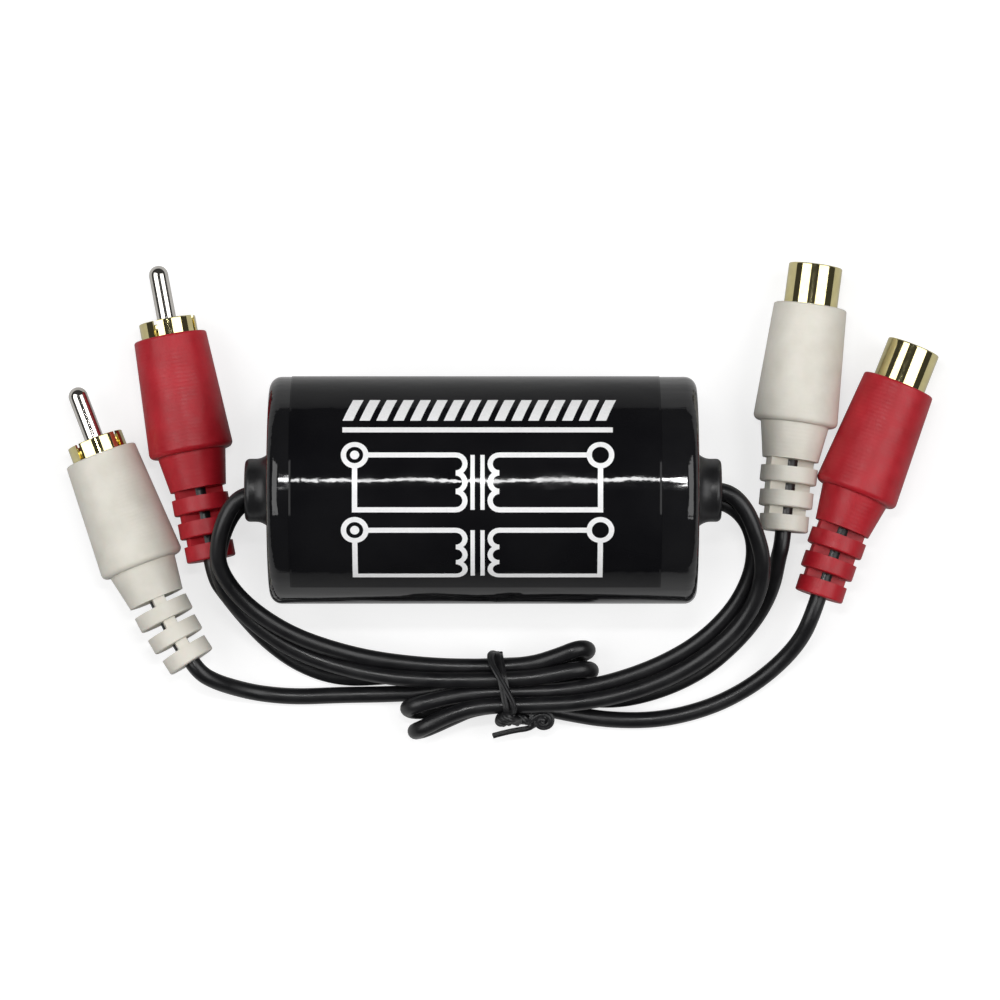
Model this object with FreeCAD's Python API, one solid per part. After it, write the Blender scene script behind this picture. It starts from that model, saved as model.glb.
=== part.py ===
import FreeCAD, Part
import math
import os

# Two-channel audio ground loop isolator with phono plugs and sockets on short cords.
# Sizes are in millimetres. The housing lies along X with its plug side at -X, +Z is up,
# and the origin is on the surface that it lies on, below the middle of the housing.

# Shrink sleeve over the case
sleeve_radius = 17.5
sleeve_wall = 0.4
sleeve_length = 65.7
sleeve_lip_radius = 12.0

# Case of two half shells
case_wall = 1.8
case_end_wall = 1.8
case_corner = 1.5
cavity_corner = 0.8
tongue_wall = 0.8
tongue_height = 0.9
tongue_clearance = 0.1

# Collars that the cords leave by
collar_radius = 4.87
collar_projection = 3.85
collar_corner = 0.8
collar_flare = 2.6
cord_hole_radius = 3.7
cord_hole_edge = 0.3

# Label on the sleeve
label_thickness = 0.1
label_left = -29.4
label_right = 27.1
label_front_angle = 57.5
label_back_angle = 125.0
label_corner = 2.0

# Circuit board on ribs of the lower half, under feet of the upper half
board_thickness = 1.6
board_below_axis = 5.0
board_corner = 1.0
board_clearance = 0.15
board_side_gap = 0.6
rib_thickness = 1.4
rib_bearing = 4.6
rib_ledge = 1.5
rib_end_gap = 0.6
foot_reach = 3.4
foot_gap = 0.05

# Audio transformers, one for each channel
transformer_gap = 2.4
core_height = 12.0
core_stack = 5.4
core_limb = 3.6
core_window = 3.4
core_yoke = 1.8
core_above_board = 0.3
bobbin_clearance = 0.1
bobbin_wall = 0.7
bobbin_flange = 0.8
bobbin_depth = 12.2
rail_depth = 2.2
rail_length = 10.2
primary_build = 1.0
secondary_build = 1.0
tape_build = 0.15
winding_corner = 0.8
pin_side = 0.6
pin_pitch = 3.75
pin_below_board = 1.8
pin_in_rail = 1.6
pin_hole_clearance = 0.2
solder_radius = 1.0
solder_height = 0.9

# Cords
cord_radius = 1.28
upper_lead_from_end = 5.1
lower_lead_from_end = 2.7

# Nylon cable ties inside the case
cable_tie_from_wall = 1.85
cable_tie_width = 2.4
cable_tie_thickness = 0.9
cable_tie_gap = 0.05
cable_tie_head = (3.6, 4.4, 2.8)
cable_tie_head_corner = 0.5

# Moulded boot, the same on plugs and sockets
boot_front_radius = 5.7
boot_rear_radius = 6.65
boot_body_length = 18.6
boot_front_edge = 0.35
boot_shoulder = 0.9
neck_front_radius = 5.35
neck_rear_radius = 4.4
neck_length = 5.6
relief_levels = 3
relief_slot = 1.25
relief_band = 2.5
relief_band_radii = (4.45, 4.2, 3.85)
relief_edge = 0.3
relief_web_half = 0.95
relief_web_share = 0.86
relief_overlap = 0.4
joint_cup_radius = 1.9
joint_cup_end = 10.5

# Phono plug
plug_ring_radius = 4.45
plug_ring_wall = 0.4
plug_ring_out = 2.6
plug_ring_in = 6.5
plug_ring_back = 0.8
plug_ring_slots = 4
plug_ring_slot_width = 0.7
plug_ring_slot_depth = 3.4
plug_ring_edge = 0.15
plug_insulator_front = 2.5
plug_pin_radius = 1.5
plug_pin_out = 8.7
plug_pin_shoulder = 2.0
plug_pin_tail_radius = 1.1
plug_pin_tail = 9.6

# Phono socket
socket_barrel_radius = 4.2
socket_root_radius = 4.4
socket_barrel_wall = 0.6
socket_barrel_out = 6.4
socket_barrel_in = 6.5
socket_barrel_edge = 0.2
socket_insulator_front = 5.5
socket_contact_bore = 1.6
socket_mouth_clearance = 0.05
socket_contact_wall = 0.3
socket_contact_front = 5.0
socket_contact_depth = 7.4
socket_contact_slit = 0.5
socket_contact_slit_depth = 5.0
socket_contact_slit_turn = 45.0
socket_contact_tail = 9.6

# Where the front of each boot is (x, y), the way it points (degrees from +Y towards -X), how
# far its relief is bent sideways, and how far its slots are turned up from the horizontal
white_plug_front = (-59.8, 5.5)
white_plug_lean = 21.1
white_plug_bend = 12.5
white_plug_roll = -8.0
red_plug_front = (-48.95, 24.0)
red_plug_lean = 10.7
red_plug_bend = 0.0
red_plug_roll = 68.0
white_socket_front = (51.1, 28.75)
white_socket_lean = -7.7
white_socket_bend = 2.6
white_socket_roll = 66.0
red_socket_front = (64.9, 16.5)
red_socket_lean = -21.9
red_socket_bend = 4.0
red_socket_roll = 78.0

# Route of each cord: where it lies in its collar (y, height over the axis), then the points
# that it passes on its way through the tie, round its fold and back through the tie
input_red_collar = (-0.5, 1.3)
input_red_route = (
    (-38.4, -1.9, 18.8),
    (-39.9, -4.6, 18.4),
    (-40.9, -8.0, 17.3),
    (-41.0, -11.6, 15.95),
    (-38.9, -15.6, 13.6),
    (-35.6, -19.5, 11.2),
    (-30.3, -23.1, 9.6),
    (-24.0, -25.4, 7.4),
    (-17.0, -26.6, 5.9),
    (-8.5, -27.4, 5.7),
    (-1.0, -27.6, 5.6),
    (7.0, -27.35, 5.6),
    (11.6, -25.9, 6.6),
    (15.0, -24.5, 7.1),
    (16.6, -24.1, 4.25),
    (15.0, -24.5, 1.4),
    (11.4, -25.6, 1.5),
    (7.0, -27.4, 2.2),
    (-1.0, -27.6, 2.2),
    (-8.0, -28.3, 1.7),
    (-15.5, -29.25, 1.4),
    (-22.6, -29.45, 1.4),
    (-28.6, -26.9, 1.4),
    (-33.6, -23.3, 1.5),
    (-37.5, -19.4, 3.0),
    (-40.2, -15.6, 6.2),
)
input_white_collar = (-1.5, -1.1)
input_white_route = (
    (-38.2, -2.9, 16.1),
    (-39.8, -5.6, 15.4),
    (-40.9, -9.0, 14.05),
    (-41.5, -12.8, 12.5),
    (-39.8, -17.0, 10.3),
    (-36.0, -21.2, 8.5),
    (-30.4, -25.6, 7.1),
    (-24.0, -28.2, 7.2),
    (-16.5, -29.2, 7.3),
    (-9.0, -29.6, 7.2),
    (-1.0, -29.6, 7.3),
    (7.0, -29.4, 7.25),
    (11.8, -28.5, 7.3),
    (15.5, -27.8, 7.1),
    (17.1, -27.5, 4.25),
    (15.5, -27.8, 1.4),
    (11.4, -28.7, 2.2),
    (7.0, -29.45, 3.8),
    (-1.0, -29.6, 3.9),
    (-8.0, -30.8, 2.7),
    (-15.0, -31.9, 1.4),
    (-22.5, -32.1, 1.4),
    (-29.5, -32.4, 1.4),
    (-35.0, -32.1, 1.7),
    (-38.9, -31.1, 3.6),
    (-42.0, -29.5, 6.3),
)
output_white_collar = (-1.5, -1.1)
output_white_route = (
    (39.2, -2.9, 16.0),
    (41.2, -5.5, 15.4),
    (42.0, -9.0, 14.3),
    (41.1, -13.3, 12.6),
    (38.2, -18.2, 10.7),
    (33.4, -22.9, 9.0),
    (27.1, -26.7, 7.5),
    (19.5, -29.9, 6.5),
    (12.5, -31.3, 5.7),
    (7.0, -31.5, 5.6),
    (-1.0, -31.6, 5.6),
    (-6.0, -32.6, 6.4),
    (-10.5, -34.1, 7.1),
    (-12.1, -34.4, 4.25),
    (-10.5, -34.1, 1.4),
    (-6.0, -32.85, 1.5),
    (-1.0, -31.6, 2.2),
    (7.0, -31.5, 2.2),
    (13.5, -32.3, 1.6),
    (20.5, -33.5, 1.4),
    (27.5, -32.6, 1.4),
    (34.0, -29.2, 1.4),
    (38.8, -24.8, 1.4),
    (42.6, -20.4, 1.9),
    (45.0, -15.4, 4.2),
    (46.0, -10.6, 7.0),
)
output_red_collar = (0.1, 1.25)
output_red_route = (
    (38.7, -0.8, 18.8),
    (40.8, -3.4, 18.5),
    (42.2, -6.9, 17.6),
    (43.25, -10.7, 16.2),
    (42.9, -14.6, 14.4),
    (41.3, -18.5, 12.7),
    (38.0, -22.3, 11.1),
    (31.9, -27.0, 9.3),
    (24.5, -30.6, 8.3),
    (16.0, -33.0, 7.7),
    (7.0, -33.5, 7.3),
    (-1.0, -33.6, 7.3),
    (-5.6, -35.1, 7.45),
    (-9.5, -37.1, 7.1),
    (-11.0, -37.6, 4.25),
    (-9.5, -37.1, 1.4),
    (-5.6, -35.3, 2.5),
    (-1.0, -33.7, 3.9),
    (7.0, -33.5, 3.9),
    (13.0, -34.9, 2.6),
    (20.0, -36.1, 1.4),
    (28.0, -36.0, 1.4),
    (35.5, -34.1, 1.4),
    (41.5, -31.1, 1.6),
    (46.2, -27.4, 2.8),
    (49.6, -23.4, 5.4),
)
cord_in_collar = 3.0
cord_bend_in_collar = 0.5
cord_run_to_boot = (3.0, 1.9, 2.0, 3.0)
bend_share = 0.45

# Twist tie round the eight strands: columns of strands from back to front, (y, lowest, highest)
tie_place = 3.2
tie_columns = ((-27.5, 2.2, 5.6), (-29.5, 3.9, 7.3), (-31.5, 2.2, 5.6), (-33.5, 3.9, 7.3))
tie_gap = 0.15
tie_thickness = 0.7
tie_width = 2.2
tie_slant = 17.0
tie_twist_start = (2.7, -35.65, 5.0)
tie_twist_end = (7.7, -36.1, 5.3)
tie_twist_size = (1.7, 0.9)
tie_twist_turns = 2.0
tie_twist_steps = 8
tie_curl_place = (9.2, -36.25, 5.35)
tie_curl_radius = 1.05
tie_curl_wire = 0.7
tie_curl_axis = (0, 0.4, 1)
tie_tail_start = (6.9, -36.1, 5.2)
tie_tail_end = (1.3, -38.35, 4.2)
tie_tail_size = (1.6, 0.45)

# Worked out from the sizes above
case_radius = sleeve_radius - sleeve_wall
case_half = sleeve_length / 2 - sleeve_wall
cavity_radius = case_radius - case_wall
cavity_half = case_half - case_end_wall
collar_end = sleeve_length / 2 + collar_projection
board_top = -board_below_axis
board_bottom = board_top - board_thickness
board_length = 2 * (cavity_half - rib_end_gap - rib_thickness - board_clearance)
board_width = 2 * (math.sqrt(cavity_radius ** 2 - board_bottom ** 2) - board_side_gap)
rib_opening = board_width / 2 - rib_bearing
foot_inner = board_width / 2 - foot_reach
core_width = 2 * (core_limb + core_window)
transformer_pitch = core_width + transformer_gap
upper_lead_landing = board_length / 2 - upper_lead_from_end
lower_lead_landing = board_length / 2 - lower_lead_from_end
cable_tie_place = cavity_half - cable_tie_from_wall
rectangle_signs = ((-1, -1), (1, -1), (1, 1), (-1, 1))
relief_length = neck_length + relief_levels * (relief_slot + relief_band)
boot_tilt = math.atan((boot_rear_radius - boot_front_radius) / (boot_body_length - boot_shoulder))


def vector(x, y, z):
    return FreeCAD.Vector(x, y, z)


def rounded_edges(corners):
    """Edges of a closed outline through (point, radius) corners, with an arc at each that has one."""
    edges = []
    starts = []
    ends = []
    arcs = []
    count = len(corners)
    for i, (point, radius) in enumerate(corners):
        before = corners[i - 1][0] - point
        after = corners[(i + 1) % count][0] - point
        before.normalize()
        after.normalize()
        half = before.getAngle(after) / 2
        if radius == 0:
            starts.append(point)
            ends.append(point)
            arcs.append(None)
            continue
        reach = radius / math.tan(half)
        middle = before + after
        middle.normalize()
        starts.append(point + before * reach)
        ends.append(point + after * reach)
        arcs.append(point + middle * (radius / math.sin(half) - radius))
    for i in range(count):
        if arcs[i] is not None:
            edges.append(Part.Arc(starts[i], arcs[i], ends[i]).toShape())
        nearer = starts[(i + 1) % count]
        if ends[i].distanceToPoint(nearer) > 1e-6:
            edges.append(Part.LineSegment(ends[i], nearer).toShape())
    return edges


def rounded_face(corners):
    """Flat face inside a rounded outline."""
    return Part.Face(Part.Wire(rounded_edges(corners)))


def turned(profile):
    """Solid turned about X from a profile of (x, distance from X, corner radius)."""
    corners = [(vector(x, 0, r), radius) for x, r, radius in profile]
    return rounded_face(corners).revolve(vector(0, 0, 0), vector(1, 0, 0), 360)


def spun(profile):
    """Solid turned about Z from a profile of (distance from Z, z, corner radius)."""
    corners = [(vector(r, 0, z), radius) for r, z, radius in profile]
    return rounded_face(corners).revolve(vector(0, 0, 0), vector(0, 0, 1), 360)


def block(low, high):
    """Box from its lowest to its highest corner."""
    size = [high[i] - low[i] for i in range(3)]
    return Part.makeBox(size[0], size[1], size[2], vector(*low))


def rod(radius, z_from, z_to):
    """Round rod along Z."""
    return Part.makeCylinder(radius, z_to - z_from, vector(0, 0, z_from))


def rounded_block(x, y, z_from, z_to, corner):
    """Upright block centred on Z, x by y, with rounded upright edges."""
    corners = [(vector(sx * x / 2, sy * y / 2, z_from), corner) for sx, sy in rectangle_signs]
    return rounded_face(corners).extrude(vector(0, 0, z_to - z_from))


def slice_of_case(places, wide, low_z, high_z):
    """Block between two places along X, across the case."""
    return block((min(places), -wide, low_z), (max(places), wide, high_z))


def cord_path(route):
    """Straight runs joined by tangent arcs, each as large as its two runs allow, and their radii."""
    points = [vector(*point) for point in route]
    edges = []
    radii = []
    last = points[0]
    for i in range(1, len(points) - 1):
        back = points[i - 1] - points[i]
        on = points[i + 1] - points[i]
        reach = bend_share * min(back.Length, on.Length)
        back.normalize()
        on.normalize()
        half_turn = (math.pi - back.getAngle(on)) / 2
        radius = reach / math.tan(half_turn)
        middle = back + on
        middle.normalize()
        first = points[i] + back * reach
        second = points[i] + on * reach
        inside = points[i] + middle * (radius / math.cos(half_turn) - radius)
        edges.append(Part.LineSegment(last, first).toShape())
        edges.append(Part.Arc(first, inside, second).toShape())
        radii.append(radius)
        last = second
    edges.append(Part.LineSegment(last, points[-1]).toShape())
    return Part.Wire(edges), radii


def cord_tube(route, radius):
    """Round tube along a route."""
    path, radii = cord_path(route)
    start = vector(*route[0])
    along = vector(*route[1]) - start
    section = Part.Face(Part.Wire([Part.Circle(start, along, radius).toShape()]))
    return path.makePipe(section), path.Length, radii


def on_axis(shape):
    """A shape modelled about the X axis, lifted to the axis of the housing."""
    return shape.translated(vector(0, 0, sleeve_radius))


def case_outline():
    """Outside of the closed case with its two collars, turned about X."""
    end = [
        (collar_end, 0, 0),
        (collar_end, collar_radius, collar_corner),
        (case_half, collar_radius, collar_flare),
        (case_half, case_radius, case_corner),
    ]
    other = [(-x, r, radius) for x, r, radius in reversed(end)]
    return turned(end + other)


def cord_holes():
    """Both holes through the end walls and collars, with a small chamfer at each mouth."""
    reach = case_end_wall + 2 * sleeve_wall + collar_projection + collar_radius
    mouth = [
        (collar_end, 0, 0),
        (collar_end, cord_hole_radius + cord_hole_edge, 0),
        (collar_end - cord_hole_edge, cord_hole_radius, 0),
        (collar_end - reach, cord_hole_radius, 0),
        (collar_end - reach, 0, 0),
    ]
    other = [(-x, r, radius) for x, r, radius in mouth]
    return turned(mouth).fuse(turned(other))


def cavity(grown):
    """Inside of the case, grown outwards by a wall."""
    half = cavity_half + grown
    radius = cavity_radius + grown
    corner = cavity_corner + grown
    profile = [
        (half, 0, 0),
        (half, radius, corner),
        (-half, radius, corner),
        (-half, 0, 0),
    ]
    return turned(profile)


def slab(z_from, z_to):
    """Wide flat region between two heights about the axis."""
    reach = collar_end + sleeve_radius
    return block((-reach, -reach, z_from), (reach, reach, z_to))


def board_ribs():
    """Ribs of the lower half that carry the board, with stops past its ends."""
    pocket = block((-cavity_half, -rib_opening, -cavity_radius + rib_ledge), (cavity_half, rib_opening, 0))
    inner = cavity(0)
    ribs = []
    for side in (-1, 1):
        end_place = side * (board_length / 2 + board_clearance)
        outside = end_place + side * rib_thickness
        inside = end_place - side * rib_ledge
        ribs.append(slice_of_case((inside, outside), sleeve_radius, -sleeve_radius, board_bottom))
        ribs.append(slice_of_case((end_place, outside), sleeve_radius, -sleeve_radius, board_top))
    middle = (-rib_thickness / 2, rib_thickness / 2)
    ribs.append(slice_of_case(middle, sleeve_radius, -sleeve_radius, board_bottom))
    shape = ribs[0].multiFuse(ribs[1:])
    return shape.cut(pocket).common(inner)


def board_feet():
    """Feet of the upper half that reach down to the board's long edges."""
    bottom = board_top + foot_gap
    outer_place = (transformer_pitch + core_width) / 2 + rib_thickness
    inner = block((-sleeve_length, -foot_inner, bottom), (sleeve_length, foot_inner, sleeve_radius))
    feet = []
    for place in (-outer_place, 0, outer_place):
        ends = (place - rib_thickness / 2, place + rib_thickness / 2)
        feet.append(slice_of_case(ends, sleeve_radius, bottom, sleeve_radius).cut(inner))
    return feet[0].multiFuse(feet[1:]).common(cavity(0))


def case_lower():
    """Lower half shell: its tongue stands up inside the joint line."""
    shell = case_outline().cut(cavity(0)).common(slab(-2 * sleeve_radius, 0))
    tongue = cavity(tongue_wall).cut(cavity(0)).common(slab(0, tongue_height))
    whole = shell.fuse(tongue).cut(cord_holes())
    return on_axis(whole.fuse(board_ribs()).removeSplitter())


def case_upper():
    """Upper half shell, rebated for the tongue of the lower one."""
    shell = case_outline().cut(cavity(0)).common(slab(0, 2 * sleeve_radius))
    rebate = cavity(tongue_wall + tongue_clearance).common(slab(0, tongue_height + tongue_clearance))
    whole = shell.cut(rebate).cut(cord_holes())
    feet = board_feet().cut(slab(-sleeve_radius, tongue_height + tongue_clearance))
    inside = cavity_radius - tongue_wall
    between = slice_of_case((-cavity_half, cavity_half), inside, -sleeve_radius, sleeve_radius)
    legs = board_feet().common(between)
    return on_axis(whole.multiFuse([feet, legs]).removeSplitter())


def shrink_sleeve():
    """Sleeve shrunk on the case and lapped over its ends."""
    half = sleeve_length / 2
    profile = [
        (half, sleeve_lip_radius, 0),
        (half, sleeve_radius, case_corner + sleeve_wall),
        (-half, sleeve_radius, case_corner + sleeve_wall),
        (-half, sleeve_lip_radius, 0),
        (-case_half, sleeve_lip_radius, 0),
        (-case_half, case_radius, case_corner),
        (case_half, case_radius, case_corner),
        (case_half, sleeve_lip_radius, 0),
    ]
    return on_axis(turned(profile))


def face_label():
    """Thin label wrapped on the sleeve from its front over the top to its back."""
    length = label_right - label_left
    spread = label_front_angle + label_back_angle
    start = vector(label_left, 0, 0)
    outer = Part.makeCylinder(sleeve_radius + label_thickness, length, start, vector(1, 0, 0))
    inner = Part.makeCylinder(sleeve_radius, length, start, vector(1, 0, 0))
    skin = outer.cut(inner)
    reach = 2 * sleeve_radius
    steps = 6
    rim = [vector(label_left, 0, 0)]
    for i in range(steps + 1):
        angle = math.radians(-label_front_angle + spread * i / steps)
        rim.append(vector(label_left, reach * math.sin(angle), reach * math.cos(angle)))
    rim.append(rim[0])
    wedge = Part.Face(Part.makePolygon(rim)).extrude(vector(length, 0, 0))
    return on_axis(skin.common(wedge))


def circuit_board():
    """Board with holes for the transformer pins."""
    board = rounded_block(board_length, board_width, board_bottom, board_top, board_corner)
    hole = pin_side / math.sqrt(2) + pin_hole_clearance
    holes = [Part.makeCylinder(hole, board_thickness, vector(x, y, board_bottom)) for x, y in pin_places()]
    return on_axis(board.cut(holes[0].multiFuse(holes[1:])))


def transformer_centres():
    return (-transformer_pitch / 2, transformer_pitch / 2)


def pin_places(centres=None):
    """Places of the pins of the transformers at these centres."""
    rail_middle = (bobbin_depth - rail_depth) / 2
    places = []
    for centre in centres or transformer_centres():
        for side in (-1, 1):
            for step in (-1, 0, 1):
                places.append((centre + step * pin_pitch, side * rail_middle))
    return places


def core_bottom():
    return board_top + core_above_board


def transformer_core(centre):
    """Laminated core: outer frame with a centre limb, standing across the board."""
    bottom = core_bottom()
    shape = block(
        (centre - core_width / 2, -core_stack / 2, bottom),
        (centre + core_width / 2, core_stack / 2, bottom + core_height),
    )
    for side in (-1, 1):
        near = centre + side * core_limb / 2
        far = near + side * core_window
        opening = block(
            (min(near, far), -core_stack, bottom + core_yoke),
            (max(near, far), core_stack, bottom + core_height - core_yoke),
        )
        shape = shape.cut(opening)
    return on_axis(shape)


def coil_layer(centre, inner, outer, z_from, z_to):
    """Rounded rectangular ring round the centre limb, from one build-up to another."""
    x = core_limb + 2 * bobbin_clearance
    y = core_stack + 2 * bobbin_clearance
    solid = rounded_block(x + 2 * outer, y + 2 * outer, z_from, z_to, winding_corner + outer)
    if inner > 0:
        hole = rounded_block(x + 2 * inner, y + 2 * inner, z_from, z_to, winding_corner + inner)
    else:
        hole = block((-x / 2, -y / 2, z_from), (x / 2, y / 2, z_to))
    return solid.cut(hole).translated(vector(centre, 0, 0))


def winding_space():
    """Lower and upper faces between the bobbin's flanges."""
    bottom = core_bottom() + core_yoke + bobbin_clearance + bobbin_flange
    top = core_bottom() + core_height - core_yoke - bobbin_clearance - bobbin_flange
    return bottom, top


def transformer_bobbin(centre):
    """Bobbin: tube, two flanges, and two rails that stand on the board and hold the pins."""
    bottom, top = winding_space()
    flange_x = core_limb + 2 * (core_window - bobbin_clearance)
    tube = coil_layer(0, 0, bobbin_wall, bottom, top)
    flange = rounded_block(flange_x, bobbin_depth, 0, bobbin_flange, winding_corner)
    opening = block(
        (-core_limb / 2 - bobbin_clearance, -core_stack / 2 - bobbin_clearance, 0),
        (core_limb / 2 + bobbin_clearance, core_stack / 2 + bobbin_clearance, bobbin_flange),
    )
    flange = flange.cut(opening)
    pieces = [flange.translated(vector(0, 0, bottom - bobbin_flange)), flange.translated(vector(0, 0, top))]
    for side in (-1, 1):
        near = side * (bobbin_depth / 2 - rail_depth)
        far = side * bobbin_depth / 2
        rail = block((-rail_length / 2, min(near, far), board_top), (rail_length / 2, max(near, far), bottom))
        pieces.append(rail)
    whole = tube.multiFuse(pieces)
    for pin in pin_shapes((0,)):
        whole = whole.cut(pin)
    return on_axis(whole.removeSplitter().translated(vector(centre, 0, 0)))


def pin_shapes(centres):
    """Square pins from inside the rails to below the board."""
    pins = []
    for x, y in pin_places(centres):
        low = (x - pin_side / 2, y - pin_side / 2, board_bottom - pin_below_board)
        high = (x + pin_side / 2, y + pin_side / 2, board_top + pin_in_rail)
        pins.append(block(low, high))
    return pins


def transformer_pins(centre):
    """The six pins of one transformer, as a group of separate solids."""
    return on_axis(Part.makeCompound(pin_shapes((centre,))))


def solder_joints():
    """A solder cone round each pin under the board, as a group of separate solids."""
    joints = []
    for x, y in pin_places():
        cone = Part.makeCone(solder_radius - solder_height / 2, solder_radius, solder_height)
        cone = cone.translated(vector(x, y, board_bottom - solder_height))
        joints.append(cone)
    whole = Part.makeCompound([joint.cut(Part.makeCompound(pin_shapes(None))) for joint in joints])
    return on_axis(whole)


def winding(centre, inner, outer):
    bottom, top = winding_space()
    return on_axis(coil_layer(centre, inner, outer, bottom, top))


def whole_route(side, collar, route, end_place, run):
    """All points of a cord: out of its collar, along its route and into line with its boot."""
    y, z = collar[0], sleeve_radius + collar[1]
    start = (side * (collar_end - cord_in_collar), y, z)
    mouth = (side * (collar_end - cord_bend_in_collar), y, z)
    before = end_place.multVec(vector(0, 0, -run))
    return (start, mouth) + route + (tuple(before), tuple(end_place.Base))


def inner_lead(route):
    """Cord from inside its collar to the board: the upper one lands beyond the lower one."""
    x, y, z = route[0]
    landing = upper_lead_landing if z > sleeve_radius else lower_lead_landing
    landing = math.copysign(landing, x)
    points = ((x, y, z), (landing, y, z), (landing, y, sleeve_radius + board_top))
    tube, _, _ = cord_tube(points, cord_radius)
    return tube


def hull_face(circles, grow):
    """Face in the YZ plane inside the tightest band round circles (y, z, radius), grown outwards."""
    edges = []
    count = len(circles)
    for i in range(count):
        y, z, radius = circles[i]
        before = circles[i - 1]
        after = circles[(i + 1) % count]
        reach = radius + grow
        turns = []
        for a, b in ((before, circles[i]), (circles[i], after)):
            along = vector(0, b[0] - a[0], b[1] - a[1])
            along.normalize()
            turns.append(vector(0, along.z, -along.y))
        centre = vector(0, y, z)
        middle = turns[0] + turns[1]
        if middle.Length < 1e-6:
            middle = vector(0, turns[0].z, -turns[0].y) * -1
        middle.normalize()
        first = centre + turns[0] * reach
        second = centre + turns[1] * reach
        edges.append(Part.Arc(first, centre + middle * reach, second).toShape())
        y2, z2, radius2 = after
        third = vector(0, y2, z2) + turns[1] * (radius2 + grow)
        edges.append(Part.LineSegment(second, third).toShape())
    return Part.Face(Part.Wire(edges))


def cable_tie(routes):
    """Nylon tie round two leads just inside an end wall, with its square head."""
    (_, y_a, z_a), (_, y_b, z_b) = [route[0] for route in routes]
    side = math.copysign(1, routes[0][0][0])
    circles = [(y_a, z_a, cord_radius), (y_b, z_b, cord_radius)]
    band = hull_face(circles, cable_tie_gap + cable_tie_thickness).cut(hull_face(circles, cable_tie_gap))
    band = band.extrude(vector(cable_tie_width, 0, 0))
    band.translate(vector(side * cable_tie_place - cable_tie_width / 2, 0, 0))
    across = vector(0, y_a - y_b, z_a - z_b)
    across.normalize()
    outward = vector(0, -across.z, across.y)
    reach = cord_radius + cable_tie_gap + cable_tie_head[2] / 2
    centre = vector(side * cable_tie_place, (y_a + y_b) / 2, (z_a + z_b) / 2) + outward * reach
    long, wide, thick = cable_tie_head
    head = rounded_block(long, wide, -thick / 2, thick / 2, cable_tie_head_corner)
    head = placed(head, FreeCAD.Placement(centre, FreeCAD.Rotation(vector(1, 0, 0), across, outward, "ZXY")))
    return band.fuse(head)


def connector_placement(front, lean):
    """Place of a connector that rests on its conical body: local +Z forward, +Y up, +X left."""
    angle = math.radians(lean)
    level = vector(-math.sin(angle), math.cos(angle), 0)
    forward = level * math.cos(boot_tilt) - vector(0, 0, math.sin(boot_tilt))
    left = vector(-level.y, level.x, 0)
    origin = vector(front[0], front[1], boot_front_radius * math.cos(boot_tilt))
    return FreeCAD.Placement(origin, FreeCAD.Rotation(left, forward.cross(left), forward, "ZXY"))


def relief_placement(bend, distance):
    """Place of the relief's cross section at a distance behind the body, local +Z forward."""
    angle = math.radians(bend) * distance / relief_length
    turn = FreeCAD.Rotation(vector(0, 1, 0), math.degrees(angle))
    if bend == 0:
        return FreeCAD.Placement(vector(0, 0, -boot_body_length - distance), turn)
    radius = relief_length / math.radians(bend)
    centre = vector(-radius, 0, -boot_body_length)
    place = centre + vector(radius * math.cos(angle), 0, -radius * math.sin(angle))
    return FreeCAD.Placement(place, turn)


def placed(shape, placement):
    shape = shape.copy()
    shape.Placement = placement.multiply(shape.Placement)
    return shape


def relief_core(radius, bend):
    """Round rod through the boot from the contact's joint to the relief's end, along its bend."""
    body_end = vector(0, 0, -boot_body_length)
    start = vector(0, 0, -joint_cup_end)
    middle = relief_placement(bend, relief_length / 2).Base
    end = relief_placement(bend, relief_length).Base
    straight = Part.LineSegment(start, body_end).toShape()
    if bend == 0:
        curve = Part.LineSegment(body_end, end).toShape()
    else:
        curve = Part.Arc(body_end, middle, end).toShape()
    section = Part.Face(Part.Wire([Part.Circle(start, vector(0, 0, 1), radius).toShape()]))
    return Part.Wire([straight, curve]).makePipe(section)


def neck():
    """Tapered neck, centred on its length, reaching a little into the body."""
    half = neck_length / 2
    profile = [
        (0, half + relief_overlap, 0),
        (neck_front_radius, half + relief_overlap, 0),
        (neck_front_radius, half, 0),
        (neck_rear_radius, -half, 0),
        (0, -half, 0),
    ]
    return spun(profile)


def relief_ring(radius):
    """One solid ring of the relief, centred on its length."""
    half = relief_band / 2
    profile = [
        (0, half, 0),
        (radius, half, 0),
        (radius, -half, relief_edge),
        (0, -half, 0),
    ]
    return spun(profile)


def relief_web(radius, roll):
    """Web across one slot, reaching a little into the solid on both sides."""
    half = relief_slot / 2 + relief_overlap
    web = rod(relief_web_share * radius, -half, half)
    web = web.common(block((-relief_web_half, -2 * radius, -half), (relief_web_half, 2 * radius, half)))
    web.rotate(vector(0, 0, 0), vector(0, 0, 1), -roll)
    return web


def boot(front_radius, front_depth, roll, bend):
    """Moulded boot: conical body, shoulder, neck and slotted strain relief, round its inner parts."""
    profile = [
        (0, 0, 0),
        (boot_front_radius, 0, boot_front_edge),
        (boot_rear_radius, -boot_body_length, boot_shoulder),
        (0, -boot_body_length, 0),
    ]
    pieces = [placed(neck(), relief_placement(bend, neck_length / 2))]
    distance = neck_length
    for radius in relief_band_radii:
        web = relief_web(radius, roll)
        pieces.append(placed(web, relief_placement(bend, distance + relief_slot / 2)))
        ring = relief_ring(radius)
        pieces.append(placed(ring, relief_placement(bend, distance + relief_slot + relief_band / 2)))
        distance += relief_slot + relief_band
    whole = spun(profile).multiFuse(pieces)
    whole = whole.cut(rod(front_radius, -front_depth, boot_front_radius))
    whole = whole.cut(rod(joint_cup_radius, -joint_cup_end, -front_depth))
    whole = whole.cut(placed(rod(cord_radius, -relief_overlap, 0), relief_placement(bend, relief_length)))
    return whole.cut(relief_core(cord_radius, bend))


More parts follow.
